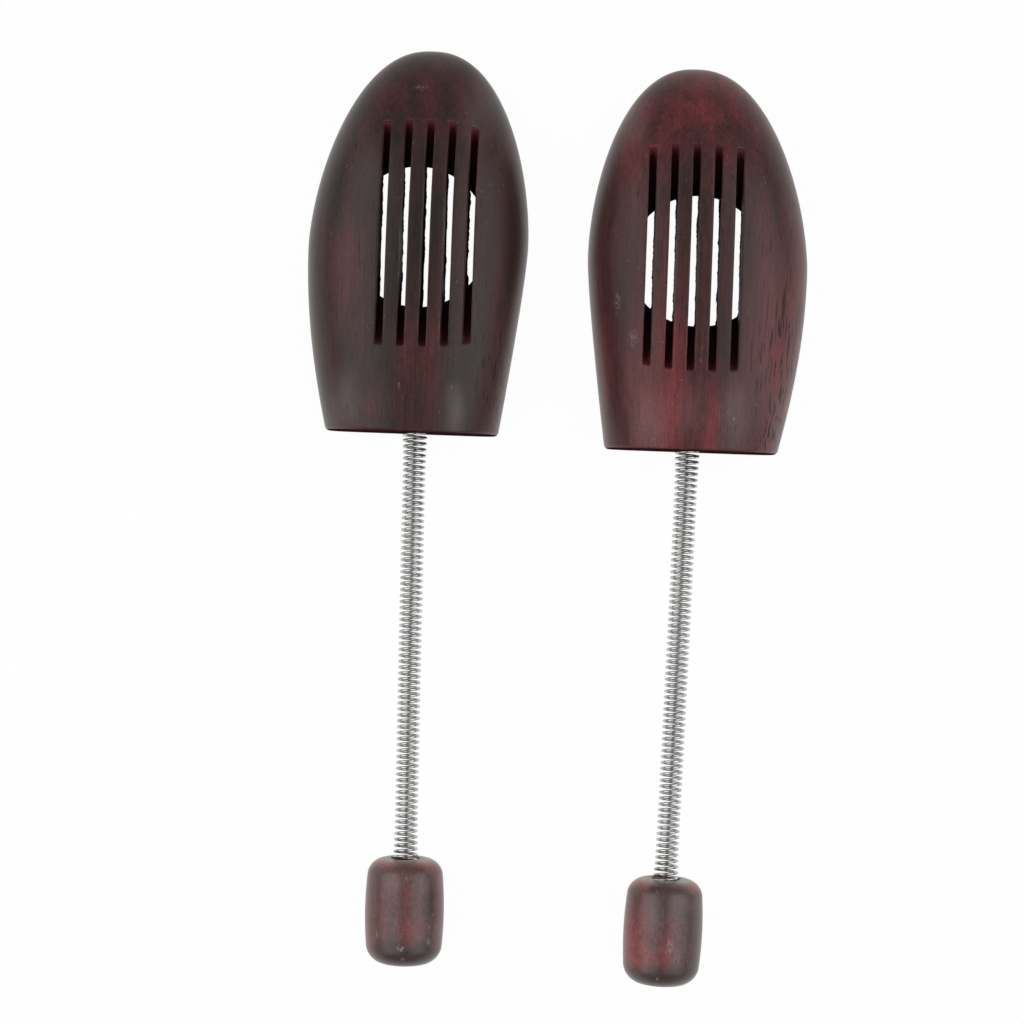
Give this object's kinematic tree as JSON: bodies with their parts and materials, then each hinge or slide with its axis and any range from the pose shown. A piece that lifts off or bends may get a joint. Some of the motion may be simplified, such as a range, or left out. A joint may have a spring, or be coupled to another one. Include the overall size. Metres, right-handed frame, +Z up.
{
  "type": "shoe stretcher",
  "caption": "Pair of wooden shoe trees: slotted domed forefoot blocks, open coil springs and turned heel knobs, left and right.",
  "frame": {"origin": "middle of the floor rectangle that the pair covers, on the floor", "axes": "+Y towards the toes, +Z up, +X from the left tree to the right tree"},
  "size_m": [0.1556, 0.2918, 0.035],
  "materials": {
    "block_wood": "satin dark red-brown stain, grain along the block",
    "knob_wood": "satin red-brown stain, turned, lightly scuffed",
    "spring_steel": "bright drawn wire"
  },
  "bodies": {
    "left_block_body": {"left_forefoot_block": "block_wood"},
    "left_spring_body": {"left_spring": "spring_steel"},
    "left_knob_body": {"left_heel_knob": "knob_wood"},
    "right_block_body": {"right_forefoot_block": "block_wood"},
    "right_spring_body": {"right_spring": "spring_steel"},
    "right_knob_body": {"right_heel_knob": "knob_wood"}
  },
  "joints": [
    {"name": "left_spring_bend", "type": "hinge", "parent": "left_block_body", "child": "left_spring_body", "pos_m": [-0.04526, -0.00764, 0.01758], "axis": [-0.9997, 0.0227, 0], "range_deg": [0, 75], "stiffness_Nm_per_rad": 0.015, "deforming": ["left_spring"]},
    {"name": "left_spring_push", "type": "slide", "parent": "left_spring_body", "child": "left_knob_body", "axis": [0.0226, 0.997, 0.0741], "range_m": [0, 0.02], "stiffness_N_per_m": 1700, "deforming": ["left_spring"]},
    {"name": "right_tree_lift", "type": "slide", "parent": "left_block_body", "child": "right_block_body", "axis": [0, 0, 1], "range_m": [0, 0.1]},
    {"name": "right_spring_bend", "type": "hinge", "parent": "right_block_body", "child": "right_spring_body", "pos_m": [0.0385, -0.01332, 0.01759], "axis": [-0.9987, 0.0506, 0], "range_deg": [0, 75], "stiffness_Nm_per_rad": 0.015, "deforming": ["right_spring"]},
    {"name": "right_spring_push", "type": "slide", "parent": "right_spring_body", "child": "right_knob_body", "axis": [0.0505, 0.996, 0.074], "range_m": [0, 0.02], "stiffness_N_per_m": 1700, "deforming": ["right_spring"]}
  ]
}
